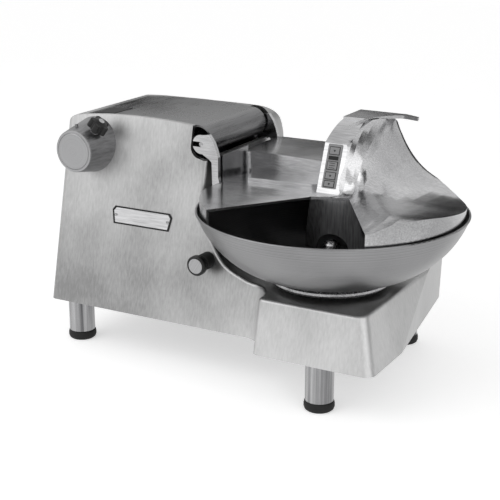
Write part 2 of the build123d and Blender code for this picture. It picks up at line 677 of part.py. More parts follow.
def fixed_pieces():
    keep("housing", housing())
    keep("roof_cover", roof_cover())
    keep("bottom_cover", bottom_cover())
    keep("hinge_rod", rod_y(-13, 232, ROD_R, HINGE_X, HINGE_Z))
    keep("hinge_brackets", hinge_brackets())
    keep("front_plate", front_plate())
    keep("plate_rivets", plate_rivets())
    keep("data_plate", data_plate())
    keep("attachment_hub", attachment_hub())
    for name, (x, y) in LEGS.items():
        keep("leg_" + name, leg(x, y))
        keep("foot_" + name, foot(x, y))
    keep("knife_bearing_housing", knife_bearing_housing())
    keep("knife_bearing", bearing(along_x(-236), SHAFT_R + FIT, 17, 12))
    keep("shaft_seal", turned([(SHAFT_R + FIT, 0), (13, 0), (13, 6), (SHAFT_R + FIT, 6)], along_x(-221)))
    stator = rod_x(-424, -330, 75) - rod_x(-425, -329, 46)
    keep("motor_stator", stator)
    for side, x0 in (("left", -436), ("right", -330)):
        bell = rod_x(x0, x0 + 12, 75) - rod_x(x0 - 1, x0 + 13, 17)
        inner_x = x0 + 6 if side == "left" else x0
        bell -= rod_x(inner_x - 0.5, inner_x + 6.5, 60) - rod_x(inner_x - 1, inner_x + 7, 26)
        keep("motor_bell_" + side, bell)
    outer_bearing = bearing(along_x(-436), SHAFT_R + FIT, 17, 12)
    keep("motor_bearings", outer_bearing + bearing(along_x(-330), SHAFT_R + FIT, 17, 12))
    arm = box(-300, RIGHT - WALL, DOWN_Y - 14, DOWN_Y + 14, 342, 352)
    arm += box(RIGHT - WALL - 6, RIGHT - WALL, DOWN_Y - 20, DOWN_Y + 14, 330, 364)
    keep("down_shaft_bracket", arm - rod_z(340, 354, 9 + FIT, DOWN_X, DOWN_Y))
    keep("idler_pin", rod_z(FLOOR + 6, GEAR_Z1 + 6, 8, IDLER_X, IDLER_Y))
    flange = [(22, 146), (28, 146), (28, 162), (42, 162), (42, 170), (28, 170), (28, 180), (14, 180),
              (14, 176), (22, 176)]
    keep("spindle_housing", turned(flange, Pos(0, 0, 0)))
    lower_bearing = bearing(Pos(0, 0, 147), 12 + FIT, 22, 10)
    keep("spindle_bearings", lower_bearing + bearing(Pos(0, 0, 164), 12 + FIT, 22, 10))
    bracket = box(LEFT + WALL, HUB_X + 16, 146, 156, HUB_Z - 14, HUB_Z + 14)
    bracket += box(LEFT + WALL, LEFT + WALL + 6, 136, 166, HUB_Z - 22, HUB_Z + 22)
    keep("hub_rear_bracket", bracket - rod_y(140, 160, 10 + FIT, HUB_X, HUB_Z))
    bush = [(10 + FIT, 0), (17, 0), (17, 16), (10 + FIT, 16)]
    keep("hub_front_bush", turned(bush, Pos(HUB_X, -26, HUB_Z) * Rot(-90, 0, 0)))
    body = rod_y(-62, -44, 11, SWITCH_X, SWITCH_Z) + rod_y(-44, 0, 13, SWITCH_X, SWITCH_Z)
    body -= rod_y(-70, -20, 7.5 + FIT, SWITCH_X, SWITCH_Z)
    keep("switch_body", body)
    gland = turned([(5, -14), (9, -14), (9, 0), (9, 8), (14, 8), (14, 14), (11, 20), (5, 20)],
                   Pos(-420, REAR - 8, 130) * Rot(-90, 0, 0))
    keep("cable_gland", gland)
    keep("capacitor", rod_y(190, 262, 20, -490, 180))


def moving_pieces():
    keep("knife_shaft", rod_x(-500, 6, SHAFT_R))
    keep("rotor", rod_x(-420, -334, 45.5) - rod_x(-421, -333, SHAFT_R))
    keep("worm_down", worm(-296, 32, SHAFT_R))
    keep("worm_hub", worm(-489, 32, SHAFT_R))
    spacer = [(SHAFT_R, 0), (17, 0), (17, 6), (SHAFT_R, 6)]
    keep("knife_spacer", turned(spacer, along_x(-22)))
    keep("knife_left", knife(-26, 35))
    keep("knife_right", knife(-16, 215))
    nut = extrude(RegularPolygon(19, 6) - Circle(SHAFT_R), amount=12)
    keep("knife_nut", along_x(-12) * nut)
    keep("down_shaft", rod_z(FLOOR + 8, 354, 9, DOWN_X, DOWN_Y) + rod_z(FLOOR + 8, 124, 10, DOWN_X, DOWN_Y))
    keep("down_wheel", gear(Pos(DOWN_X, DOWN_Y, SHAFT_Z - 7), WHEEL_R, 28, 9, 14))
    keep("down_pinion", gear(Pos(DOWN_X, DOWN_Y, GEAR_Z0), PINION_R, 26, 9, 14))
    keep("idler_gear", gear(Pos(IDLER_X, IDLER_Y, GEAR_Z0), IDLER_R, 58, 8 + FIT, 14))
    keep("bowl_gear", gear(Pos(0, 0, GEAR_Z0), BOWL_GEAR_R, 54, 12, 14))
    keep("bowl_spindle", rod_z(118, 231, 12))
    keep("turntable", turntable())
    keep("bowl", bowl())
    keep("bowl_nut", bowl_nut())
    keep("hub_wheel", gear(Pos(HUB_X, SHAFT_Y - 7, HUB_Z) * Rot(-90, 0, 0), WHEEL_R, 28, 10, 14))
    spindle = rod_y(-38, 158, 10, HUB_X, HUB_Z)
    spindle -= Pos(HUB_X, -32, HUB_Z) * Box(9, 20, 9)
    keep("hub_spindle", spindle)
    keep("bowl_cover", bowl_cover())
    keep("lid_baffle", lid_baffle())
    keep("cover_label", cover_label())
    knob = turned([(0, 0), (15.5, 0), (17.7, 2), (17.7, 10), (7.5, 10), (7.5, 66), (0, 66)],
                  Pos(SWITCH_X, SWITCH_Y, SWITCH_Z) * Rot(-90, 0, 0))
    knob -= rod_y(SWITCH_Y - 1, SWITCH_Y + 1.2, 9.5, SWITCH_X, SWITCH_Z)
    keep("switch_knob", knob)
    keep("hub_plug", hub_plug())
    keep("hub_thumb_screw", hub_thumb_screw())


fixed_pieces()
moving_pieces()
for node, shape in pieces.items():
    placed = Pos(SHIFT_X, SHIFT_Y, 0) * shape
    export_step(placed, f"parts/{node}.step")
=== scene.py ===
import json
import math

import bmesh
import bpy
from mathutils import Matrix, Vector

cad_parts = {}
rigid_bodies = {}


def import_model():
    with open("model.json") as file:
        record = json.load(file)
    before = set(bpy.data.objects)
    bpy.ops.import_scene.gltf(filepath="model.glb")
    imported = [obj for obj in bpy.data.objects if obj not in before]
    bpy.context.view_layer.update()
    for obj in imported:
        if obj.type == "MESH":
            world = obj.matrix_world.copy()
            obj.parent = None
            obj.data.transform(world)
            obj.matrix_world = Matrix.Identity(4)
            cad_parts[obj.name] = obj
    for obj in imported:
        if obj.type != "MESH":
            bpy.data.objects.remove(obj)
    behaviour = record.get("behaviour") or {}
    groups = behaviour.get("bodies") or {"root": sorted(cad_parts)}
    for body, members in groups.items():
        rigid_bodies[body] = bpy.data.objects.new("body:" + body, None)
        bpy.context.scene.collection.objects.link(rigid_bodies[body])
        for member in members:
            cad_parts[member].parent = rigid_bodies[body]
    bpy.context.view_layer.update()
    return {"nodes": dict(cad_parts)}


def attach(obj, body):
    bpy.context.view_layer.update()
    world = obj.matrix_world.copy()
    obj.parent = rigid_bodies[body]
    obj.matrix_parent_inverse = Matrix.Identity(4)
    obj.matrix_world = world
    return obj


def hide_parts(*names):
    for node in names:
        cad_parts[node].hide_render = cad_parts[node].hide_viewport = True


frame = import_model()

# the drawing of the machine is about the bowl axis, and this moves it to the frame (metres)
bowlAxis = Vector((0.1535, -0.026, 0.0))


def at(x, y, z):
    # millimetres about the bowl axis to metres in the frame
    return Vector((x / 1000, y / 1000, z / 1000)) + bowlAxis


# axis of the attachment hub (millimetres), and the centre of its front face
hubAxis = {"x": -473, "z": 372}
hubFace = at(hubAxis["x"], -80, hubAxis["z"])


def srgb(hexValue):
    # sRGB hex to linear RGBA
    channels = []
    for i in (0, 2, 4):
        c = int(hexValue.lstrip("#")[i:i + 2], 16) / 255
        channels.append(c / 12.92 if c <= 0.04045 else ((c + 0.055) / 1.055) ** 2.4)
    return (*channels, 1.0)


def addNode(tree, kind, settings=None, links=None):
    # settings: attribute, input or "stops" of a colour ramp; links: input to an output socket
    node = tree.nodes.new(kind)
    for key, value in (settings or {}).items():
        if key == "stops":
            for i, (position, colour) in enumerate(value):
                element = node.color_ramp.elements[i] if i < 2 else node.color_ramp.elements.new(position)
                element.position, element.color = position, colour
        elif isinstance(key, int) or key in node.inputs:
            node.inputs[key].default_value = value
        else:
            setattr(node, key, value)
    for key, socket in (links or {}).items():
        tree.links.new(socket, node.inputs[key])
    return node


def startMaterial(name, settings):
    material = bpy.data.materials.new(name)
    material.use_nodes = True
    shader = material.node_tree.nodes["Principled BSDF"]
    for key, value in settings.items():
        shader.inputs[key].default_value = value
    return material, material.node_tree, shader


def brushedMetal(name, look):
    # belt-ground metal: long scratches along one axis, and faint clouds left by the buffing wheel
    # stretch is the scratches' repeats a metre along x, y and z; real ones are finer and wouldn't show
    material, tree, shader = startMaterial(name, {"Metallic": 1.0, "Roughness": look["rough"]})
    coords = addNode(tree, "ShaderNodeTexCoord")
    stretch = addNode(tree, "ShaderNodeMapping", {"Scale": look["stretch"]},
                      {"Vector": coords.outputs["Object"]})
    scratches = addNode(tree, "ShaderNodeTexNoise", {"Scale": 1.0, "Detail": 5.0, "Roughness": 0.62},
                        {"Vector": stretch.outputs["Vector"]})
    clouds = addNode(tree, "ShaderNodeTexNoise", {"Scale": look.get("cloud", 7.0), "Detail": 3.0},
                     {"Vector": coords.outputs["Object"]})
    faint = addNode(tree, "ShaderNodeMath", {"operation": "MULTIPLY", 1: look.get("grain", 1.0)},
                    {0: scratches.outputs["Fac"]})
    mixed = addNode(tree, "ShaderNodeMath", {"operation": "MULTIPLY_ADD", 1: look.get("cloudShare", 0.35)},
                    {0: clouds.outputs["Fac"], 2: faint.outputs["Value"]})
    halved = addNode(tree, "ShaderNodeMath", {"operation": "MULTIPLY", 1: 0.5}, {0: mixed.outputs["Value"]})
    low, high = [share * (look.get("cloudShare", 0.35) + look.get("grain", 1.0)) for share in (0.36, 0.64)]
    colours = addNode(tree, "ShaderNodeValToRGB",
                      {"stops": [(low / 2, srgb(look["dark"])), (high / 2, srgb(look["light"]))]},
                      {"Fac": halved.outputs["Value"]})
    tree.links.new(colours.outputs["Color"], shader.inputs["Base Color"])
    spread = look.get("roughSpread", 0.1)
    roughness = addNode(tree, "ShaderNodeMapRange", {"From Min": low, "From Max": high,
                        "To Min": look["rough"] - spread, "To Max": look["rough"] + spread},
                        {"Value": mixed.outputs["Value"]})
    tree.links.new(roughness.outputs["Result"], shader.inputs["Roughness"])
    relief = addNode(tree, "ShaderNodeBump", {"Strength": look.get("bump", 0.12), "Distance": 0.0004},
                     {"Height": scratches.outputs["Fac"]})
    tree.links.new(relief.outputs["Normal"], shader.inputs["Normal"])
    return material


def turnedMetal(name, look):
    # lathe-brushed metal: fine rings about one axis through centre
    material, tree, shader = startMaterial(name, {"Metallic": 1.0, "Roughness": look["rough"]})
    coords = addNode(tree, "ShaderNodeTexCoord")
    centred = addNode(tree, "ShaderNodeVectorMath", {"operation": "SUBTRACT", 1: look["centre"]},
                      {0: coords.outputs["Object"]})
    flat = addNode(tree, "ShaderNodeVectorMath", {"operation": "MULTIPLY", 1: look["across"]},
                   {0: centred.outputs["Vector"]})
    radius = addNode(tree, "ShaderNodeVectorMath", {"operation": "LENGTH"}, {0: flat.outputs["Vector"]})
    parts = addNode(tree, "ShaderNodeSeparateXYZ", {}, {"Vector": centred.outputs["Vector"]})
    along = addNode(tree, "ShaderNodeMath", {"operation": "ADD"},
                    {0: radius.outputs["Value"], 1: parts.outputs[look.get("along", "Z")]})
    rings = addNode(tree, "ShaderNodeTexNoise", {"noise_dimensions": "1D", "Scale": 1000 / look["ringMm"],
                    "Detail": 4.0, "Roughness": 0.6}, {"W": along.outputs["Value"]})
    clouds = addNode(tree, "ShaderNodeTexNoise", {"Scale": 9.0, "Detail": 2.0},
                     {"Vector": coords.outputs["Object"]})
    mixed = addNode(tree, "ShaderNodeMath", {"operation": "MULTIPLY_ADD", 1: 0.3},
                    {0: clouds.outputs["Fac"], 2: rings.outputs["Fac"]})
    colours = addNode(tree, "ShaderNodeValToRGB",
                      {"stops": [(0.3, srgb(look["dark"])), (0.95, srgb(look["light"]))]},
                      {"Fac": mixed.outputs["Value"]})
    tree.links.new(colours.outputs["Color"], shader.inputs["Base Color"])
    roughness = addNode(tree, "ShaderNodeMapRange", {"From Min": 0.3, "From Max": 0.9,
                        "To Min": look["rough"] - 0.06, "To Max": look["rough"] + 0.08},
                        {"Value": mixed.outputs["Value"]})
    tree.links.new(roughness.outputs["Result"], shader.inputs["Roughness"])
    relief = addNode(tree, "ShaderNodeBump", {"Strength": look.get("bump", 0.1), "Distance": 0.0003},
                     {"Height": rings.outputs["Fac"]})
    tree.links.new(relief.outputs["Normal"], shader.inputs["Normal"])
    return material


def grainedSolid(name, look):
    # moulded, cast or painted surface with a fine grain
    material, tree, shader = startMaterial(name, {"Metallic": look.get("metallic", 0.0),
                                                  "Roughness": look["rough"], "IOR": look.get("ior", 1.5)})
    coords = addNode(tree, "ShaderNodeTexCoord")
    grain = addNode(tree, "ShaderNodeTexNoise", {"Scale": 1000 / look["grainMm"], "Detail": 3.0},
                    {"Vector": coords.outputs["Object"]})
    colours = addNode(tree, "ShaderNodeValToRGB",
                      {"stops": [(0.3, srgb(look["dark"])), (0.75, srgb(look["light"]))]},
                      {"Fac": grain.outputs["Fac"]})
    tree.links.new(colours.outputs["Color"], shader.inputs["Base Color"])
    roughness = addNode(tree, "ShaderNodeMapRange",
                        {"To Min": look["rough"] - 0.08, "To Max": look["rough"] + 0.08},
                        {"Value": grain.outputs["Fac"]})
    tree.links.new(roughness.outputs["Result"], shader.inputs["Roughness"])
    relief = addNode(tree, "ShaderNodeBump", {"Strength": look.get("bump", 0.15), "Distance": 0.0003},
                     {"Height": grain.outputs["Fac"]})
    tree.links.new(relief.outputs["Normal"], shader.inputs["Normal"])
    return material


# cast aluminium buffed by hand: soft pale clouds and hardly any grain
burnished = brushedMetal("burnishedCastAluminium", {"rough": 0.38, "stretch": (300, 300, 18),
                         "dark": "#8b8b8b", "light": "#c6c6c6", "cloud": 3.2, "cloudShare": 1.6,
                         "bump": 0.03, "grain": 0.45})
# satin stainless sheet, its grain along the roof: a mid grey that takes broad, soft reflections
roofSteel = brushedMetal("satinStainlessRoof", {"rough": 0.3, "stretch": (380, 16, 380), "dark": "#585859",
                         "light": "#7c7c7d", "cloudShare": 1.0, "bump": 0.03})
# polished stainless sheet: mirror-like, with faint buffing lines
polished = brushedMetal("polishedStainlessLid", {"rough": 0.2, "stretch": (30, 420, 420), "dark": "#8f8f90",
                        "light": "#c4c4c5", "roughSpread": 0.03, "bump": 0.006, "cloudShare": 1.4})
# mill-finish sheet inside the lid: darker and duller than the polished outside
baffleSteel = brushedMetal("millFinishSteelSheet", {"rough": 0.44, "stretch": (420, 420, 20),
                           "dark": "#505051", "light": "#757576", "bump": 0.05})
# spun bowl: fine rings left by the roller
spunBowl = turnedMetal("spunStainlessBowl", {"rough": 0.32, "centre": tuple(bowlAxis), "across": (1, 1, 0),
                       "ringMm": 1.6, "dark": "#646465", "light": "#a2a2a3", "bump": 0.05})
# drawn tube: lengthwise streaks, light and dark, round the leg, in broad bands that are partly painted
# reflection: they stand in for the dark edges and bright middle that reflections give a polished leg
legStreaksAndPaintedReflection = brushedMetal("drawnTubeStreaksAndPaintedReflection", {"rough": 0.22, "stretch": (70, 70, 1.2), "dark": "#48484a",
                        "light": "#b6b6b7", "bump": 0.02, "roughSpread": 0.05, "cloudShare": 0.2})
# satin casting: mid grey with a faint lathe grain
hubMetal = brushedMetal("satinCastHub", {"rough": 0.42, "stretch": (240, 20, 240), "dark": "#69696a",
                        "light": "#8e8e8f", "bump": 0.04})
# faced end of the hub: fine rings, a little lighter than the casting
capMetal = turnedMetal("facedAluminiumCap", {"rough": 0.38, "centre": tuple(hubFace), "across": (1, 0, 1),
                       "ringMm": 1.2, "dark": "#868687", "light": "#adadae", "along": "Y"})
# turned and ground steel: shafts, nuts, screws and brackets
machined = brushedMetal("groundSteel", {"rough": 0.26, "stretch": (300, 300, 300), "dark": "#808081",
                        "light": "#bcbcbd"})
# phosphor bronze wheels: warm, with the dull grain of a casting
bronze = grainedSolid("gearBronze", {"rough": 0.34, "metallic": 1.0, "dark": "#9a7338", "light": "#c39a56",
                      "grainMm": 2.0})
# moulded rubber: matt black
rubber = grainedSolid("mouldedRubber", {"rough": 0.7, "dark": "#080808", "light": "#161616", "grainMm": 1.2,
                      "ior": 1.45})
# phenolic moulding: deep black with a soft shine
blackPlastic = grainedSolid("mouldedPhenolic", {"rough": 0.48, "dark": "#040404", "light": "#0c0c0c",
                            "grainMm": 1.6, "ior": 1.42})
# sprayed enamel on the motor: dark grey, slightly rippled
motorEnamel = grainedSolid("motorEnamel", {"rough": 0.4, "dark": "#2a2c2f", "light": "#383b3f",
                           "grainMm": 1.5})
# anodised plate: pale and even
plateMetal = brushedMetal("anodisedPlate", {"rough": 0.4, "stretch": (30, 500, 500), "dark": "#b0b0b1",
                          "light": "#d0d0d1", "bump": 0.02})
# baked label enamel: pale grey and smooth
labelEnamel = grainedSolid("bakedLabelEnamel", {"rough": 0.5, "dark": "#868687", "light": "#9a9a9b",
                           "grainMm": 1.2, "bump": 0.04})
# etched and filled plate: flat black
darkPlate = grainedSolid("etchedBlackFill", {"rough": 0.6, "dark": "#0b0b0b", "light": "#171717",
                         "grainMm": 1.0, "ior": 1.4})
print("materials made")

finishes = {
    "housing": burnished, "roof_cover": roofSteel, "bottom_cover": roofSteel, "hinge_rod": machined,
    "hinge_brackets": machined, "front_plate": darkPlate, "plate_rivets": machined,
    "data_plate": darkPlate, "attachment_hub": hubMetal, "knife_bearing_housing": burnished,
    "knife_bearing": machined, "shaft_seal": rubber, "motor_stator": motorEnamel,
    "motor_bell_left": motorEnamel, "motor_bell_right": motorEnamel, "motor_bearings": machined,
    "down_shaft_bracket": machined, "idler_pin": machined, "spindle_housing": burnished,
    "spindle_bearings": machined, "hub_rear_bracket": machined, "hub_front_bush": bronze,
    "switch_body": blackPlastic, "cable_gland": blackPlastic, "capacitor": motorEnamel,
    "knife_shaft": machined, "rotor": machined, "worm_down": machined, "worm_hub": machined,
    "knife_spacer": machined, "knife_left": polished, "knife_right": polished, "knife_nut": machined,
    "down_shaft": machined, "down_wheel": bronze, "down_pinion": machined, "idler_gear": machined,
    "bowl_gear": machined, "bowl_spindle": machined, "turntable": machined, "bowl": spunBowl,
    "bowl_nut": machined, "hub_wheel": bronze, "hub_spindle": machined, "bowl_cover": polished,
    "lid_baffle": baffleSteel, "cover_label": labelEnamel, "switch_knob": blackPlastic,
    "hub_plug": capMetal, "hub_thumb_screw": blackPlastic,
}
for node, item in frame["nodes"].items():
    if node.startswith("leg_"):
        finish = legStreaksAndPaintedReflection
    elif node.startswith("foot_"):
        finish = rubber
    else:
        finish = finishes[node]
    item.data.materials.clear()
    item.data.materials.append(finish)
print("finishes set on", len(frame["nodes"]), "parts")

# slopes of the machine's faces, as run over rise
slopes = {"front": 0.2309, "label": 0.3976}


def clearSelection():
    if bpy.context.object and bpy.context.object.mode != "OBJECT":
        bpy.ops.object.mode_set(mode="OBJECT")
    for item in bpy.context.view_layer.objects:
        item.select_set(False)


def startPiece(name):
    # the primitive just added becomes the named piece
    piece = bpy.context.object
    piece.name = name
    piece.data.name = name
    return piece


def pickFaces(piece, wanted):
    # select the faces whose centre and normal satisfy wanted, then stay in edit mode
    bpy.ops.object.mode_set(mode="EDIT")
    bpy.ops.mesh.select_all(action="DESELECT")
    mesh = bmesh.from_edit_mesh(piece.data)
    for face in mesh.faces:
        face.select_set(wanted(face.calc_center_median(), face.normal))
    mesh.select_flush_mode()
    bmesh.update_edit_mesh(piece.data)


def thickenSheet(piece, thickness, offset):
    thicken = piece.modifiers.new("thicken", "SOLIDIFY")
    thicken.thickness, thicken.offset = thickness, offset
    bpy.context.view_layer.objects.active = piece
    bpy.ops.object.modifier_apply(modifier=thicken.name)


def roundOver(piece, width, segments=3, limit=30):
    soft = piece.modifiers.new("roundOver", "BEVEL")
    soft.width, soft.segments = width, segments
    soft.limit_method, soft.angle_limit = "ANGLE", math.radians(limit)
    bpy.context.view_layer.objects.active = piece
    bpy.ops.object.modifier_apply(modifier=soft.name)


def seat(piece, matrix):
    # put the finished mesh in its place and leave the object at the origin
    piece.data.transform(piece.matrix_basis)
    piece.matrix_basis = Matrix()
    piece.data.transform(matrix)
    if matrix.determinant() < 0:
        piece.data.flip_normals()
    piece.data.update()


def complete(piece, material, body, smoothAngle=35):
    clearSelection()
    piece.select_set(True)
    bpy.context.view_layer.objects.active = piece
    bpy.ops.object.shade_smooth_by_angle(angle=math.radians(smoothAngle))
    piece.data.materials.clear()
    piece.data.materials.append(material)
    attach(piece, body)
    return piece


def joinAll(copies, name):
    clearSelection()
    for item in copies:
        item.select_set(True)
    bpy.context.view_layer.objects.active = copies[0]
    bpy.ops.object.join()
    copies[0].name = name
    copies[0].data.name = name
    return copies[0]


def spread(piece, places, name):
    # one copy with its own mesh at each place, joined into one piece
    copies = []
    for matrix in places:
        twin = piece.copy()
        twin.data = piece.data.copy()
        bpy.context.collection.objects.link(twin)
        seat(twin, matrix)
        copies.append(twin)
    bpy.data.objects.remove(piece)
    return joinAll(copies, name)


def facing(direction, place):
    # matrix that turns a piece's +Z to direction and moves it to place
    turn = Vector(direction).normalized().to_track_quat("Z", "Y").to_matrix().to_4x4()
    return Matrix.Translation(place) @ turn


def flatRing(name, settings):
    # flat ring about +Z, thickened to the side that offset says, its edges softened
    clearSelection()
    bpy.ops.mesh.primitive_circle_add(vertices=settings["sides"], radius=settings["outer"],
                                      fill_type="NGON")
    piece = startPiece(name)
    bpy.ops.object.mode_set(mode="EDIT")
    bpy.ops.mesh.select_all(action="SELECT")
    bpy.ops.mesh.inset(thickness=settings["outer"] - settings["inner"], depth=0)
    bpy.ops.mesh.delete(type="FACE")
    bpy.ops.object.mode_set(mode="OBJECT")
    thickenSheet(piece, settings["thick"], settings["offset"])
    roundOver(piece, settings["soft"], settings["steps"], 40)
    return piece


def socketScrew(settings):
    # cap-head screw, its head up, with a round socket sunk in its head
    clearSelection()
    bpy.ops.mesh.primitive_cylinder_add(vertices=32, radius=settings["head"], depth=settings["tall"],
                                        location=(0, 0, settings["tall"] / 2))
    screw = startPiece("screw")
    pickFaces(screw, lambda centre, normal: normal.z > 0.9)
    bpy.ops.mesh.inset(thickness=settings["head"] * 0.45, depth=0)
    bpy.ops.mesh.inset(thickness=0.00001, depth=-settings["tall"] * 0.55)
    bpy.ops.object.mode_set(mode="OBJECT")
    roundOver(screw, settings["head"] * 0.09, 2, 50)
    return screw


# front plate: the light bare field inside its dark frame
plateField = {"top": 0.0600, "low": 0.0556, "high": 0.0133, "shoulder": 0.0074, "corner": 0.0550,
              "thick": 0.0004, "soft": 0.00012, "proud": 0.00105,
              "centreX": -353, "footY": -86, "height": 256, "overFoot": 170}
clearSelection()
bpy.ops.mesh.primitive_plane_add(size=1)
field = startPiece("plateField")
bpy.ops.object.mode_set(mode="EDIT")
bpy.ops.mesh.delete(type="VERT")
bpy.ops.object.mode_set(mode="OBJECT")
outline = [(-plateField["top"], plateField["shoulder"]), (-plateField["corner"], plateField["high"]),
           (plateField["corner"], plateField["high"]), (plateField["top"], plateField["shoulder"]),
           (plateField["low"], -plateField["high"]), (-plateField["low"], -plateField["high"])]
field.data.from_pydata([(x, y, 0) for x, y in outline], [], [tuple(reversed(range(6)))])
thickenSheet(field, plateField["thick"], -1)
roundOver(field, plateField["soft"], 1, 40)
faceY = plateField["footY"] + slopes["front"] * plateField["overFoot"]
faceTurn = Matrix.Rotation(math.pi / 2 - math.atan(slopes["front"]), 4, "X")
seat(field, Matrix.Translation(at(plateField["centreX"], faceY, plateField["height"])) @ faceTurn
     @ Matrix.Translation((0, 0, plateField["proud"])))
complete(field, plateMetal, "machine")

# switch: light crowned disc set in the black ring
switchAxis = {"x": -209, "z": 204}
switchDot = {"radius": 0.0132, "thick": 0.0012, "crown": 0.0009, "ringStep": 0.2, "backY": -98.9}
clearSelection()
bpy.ops.mesh.primitive_cylinder_add(vertices=48, radius=switchDot["radius"], depth=switchDot["thick"])
dot = startPiece("switchDot")
pickFaces(dot, lambda centre, normal: normal.z > 0.9)
for step in range(4):
    bpy.ops.mesh.inset(thickness=switchDot["radius"] * switchDot["ringStep"],
                       depth=switchDot["crown"] * (0.4 - 0.09 * step))
bpy.ops.object.mode_set(mode="OBJECT")
dotPlace = at(switchAxis["x"], switchDot["backY"], switchAxis["z"]) - Vector((0, switchDot["thick"] / 2, 0))
seat(dot, facing((0, -1, 0), dotPlace))
complete(dot, capMetal, "switch")

# hub: bright faced ring round the cap
hubRing = {"outer": 0.0372, "inner": 0.0334, "thick": 0.0006, "offset": 1, "sides": 96,
           "soft": 0.0002, "steps": 2}
ring = flatRing("hubRing", hubRing)
seat(ring, facing((0, -1, 0), hubFace))
complete(ring, capMetal, "machine")

# label strip on the hood: bare framed fields, bars and dots, with no words
labelFields = {"wide": 0.0195, "line": 0.0011, "thick": 0.0006, "frameBack": 0.0012, "markBack": 0.0014,
               "centreThick": 0.0002,
               "frames": ((26.5, 14.0), (1.0, 15.0), (-16.5, 13.0), (-30.5, 11.5)),
               "bars": ((14.0, 18.0, 6.5), (5.0, 11.0, 1.6), (1.0, 11.0, 1.6), (-3.0, 11.0, 1.6)),
               "dots": (26.5, -16.5, -30.5), "dotSize": 3.4,
               "centreX": -17, "footY": 17, "overFoot": 42, "height": 374}
labelY = labelFields["footY"] + slopes["label"] * labelFields["overFoot"]
strip = (Matrix.Translation(at(labelFields["centreX"], labelY, labelFields["height"]))
         @ Matrix.Rotation(math.pi / 2 - math.atan(slopes["label"]), 4, "X"))


def labelField(wide, high, low, thick):
    # thin block with softened edges, its back at height low over the strip
    clearSelection()
    bpy.ops.mesh.primitive_cube_add(size=1)
    field = startPiece("labelField")
    field.scale = (wide, high, thick)
    bpy.ops.object.transform_apply(location=False, rotation=False, scale=True)
    roundOver(field, thick * 0.3, 1, 40)
    seat(field, Matrix.Translation((0, 0, low + thick / 2)))
    return field


darkFields, lightFields = [], []
thick, line = labelFields["thick"], labelFields["line"]
for row, high in labelFields["frames"]:
    frameBack = labelField(labelFields["wide"], high / 1000, labelFields["frameBack"], thick)
    seat(frameBack, strip @ Matrix.Translation((0, row / 1000, 0)))
    darkFields.append(frameBack)
    centre = labelField(labelFields["wide"] - 2 * line, high / 1000 - 2 * line,
                        labelFields["frameBack"] + thick, labelFields["centreThick"])
    seat(centre, strip @ Matrix.Translation((0, row / 1000, 0)))
    lightFields.append(centre)
for row, wide, high in labelFields["bars"]:
    bar = labelField(wide / 1000, high / 1000, labelFields["markBack"], thick)
    seat(bar, strip @ Matrix.Translation((0, row / 1000, 0)))
    darkFields.append(bar)
for row in labelFields["dots"]:
    size = labelFields["dotSize"] / 1000
    dot = labelField(size, size, labelFields["markBack"], thick)
    seat(dot, strip @ Matrix.Translation((0, row / 1000, 0)))
    darkFields.append(dot)
complete(joinAll(darkFields, "labelMarks"), darkPlate, "lid")
complete(joinAll(lightFields, "labelFields"), labelEnamel, "lid")

# baffle: one bent sheet from the lip of the deck down to the trough, with an arch over the bowl nut
baffleSheet = {"top": ((-34.5, -11.5), (27.0, 11.0)), "topZ": 327.0,
               "low": ((-57.0, 14.0), (60.0, 18.0)), "lowZ": 234.0,
               "bulge": 15.0, "across": 28, "down": 20, "arch": 30.0, "archZ": 236.0, "archDepth": 0.14,
               "thick": 2.2, "soft": 0.0006}
clearSelection()
bpy.ops.mesh.primitive_grid_add(x_subdivisions=baffleSheet["across"], y_subdivisions=baffleSheet["down"],
                                size=2)
baffle = startPiece("baffleSheet")
(topLeft, topRight), (lowLeft, lowRight) = baffleSheet["top"], baffleSheet["low"]
for vertex in baffle.data.vertices:
    across, down = (vertex.co.x + 1) / 2, (1 - vertex.co.y) / 2
    flare = down ** 0.75
    left = [topLeft[i] + (lowLeft[i] - topLeft[i]) * flare for i in (0, 1)]
    right = [topRight[i] + (lowRight[i] - topRight[i]) * flare for i in (0, 1)]
    x = left[0] + (right[0] - left[0]) * across
    y = left[1] + (right[1] - left[1]) * across
    y -= baffleSheet["bulge"] * math.sin(math.pi * across) * down ** 0.6
    z = baffleSheet["topZ"] + (baffleSheet["lowZ"] - baffleSheet["topZ"]) * down
    vertex.co = at(x, y, z)
thickenSheet(baffle, baffleSheet["thick"] / 1000, 0)
clearSelection()
bpy.ops.mesh.primitive_cylinder_add(vertices=64, radius=baffleSheet["arch"] / 1000,
                                    depth=baffleSheet["archDepth"], location=at(0, 0, baffleSheet["archZ"]),
                                    rotation=(math.pi / 2, 0, 0))
cutter = startPiece("archCutter")
arch = baffle.modifiers.new("arch", "BOOLEAN")
arch.operation, arch.object, arch.solver = "DIFFERENCE", cutter, "EXACT"
clearSelection()
baffle.select_set(True)
bpy.context.view_layer.objects.active = baffle
bpy.ops.object.modifier_apply(modifier=arch.name)
bpy.data.objects.remove(cutter)
roundOver(baffle, baffleSheet["soft"], 2, 50)
complete(baffle, baffleSteel, "lid", 50)
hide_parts("lid_baffle")

# switch: fixed collar round the stem, clear of the knob when it is pushed in
switchCollar = {"outer": 0.0145, "inner": 0.0085, "frontY": -79.5, "thick": 0.0245, "offset": -1,
                "sides": 64, "soft": 0.0016, "steps": 3}
collar = flatRing("switchCollar", switchCollar)
seat(collar, facing((0, -1, 0), at(switchAxis["x"], switchCollar["frontY"], switchAxis["z"])))
complete(collar, rubber, "machine")

# fasteners: heads and the places of their seats, in millimetres about the bowl axis
smallScrew, largeScrew = {"head": 0.0045, "tall": 0.0035}, {"head": 0.0065, "tall": 0.006}
motorAxis = {"y": 121, "z": 322}


def boltCircle(x, radius, angles):
    # places on a circle about the motor's axis, at one x
    return [at(x, motorAxis["y"] + radius * math.cos(math.radians(t)),
               motorAxis["z"] + radius * math.sin(math.radians(t))) for t in angles]


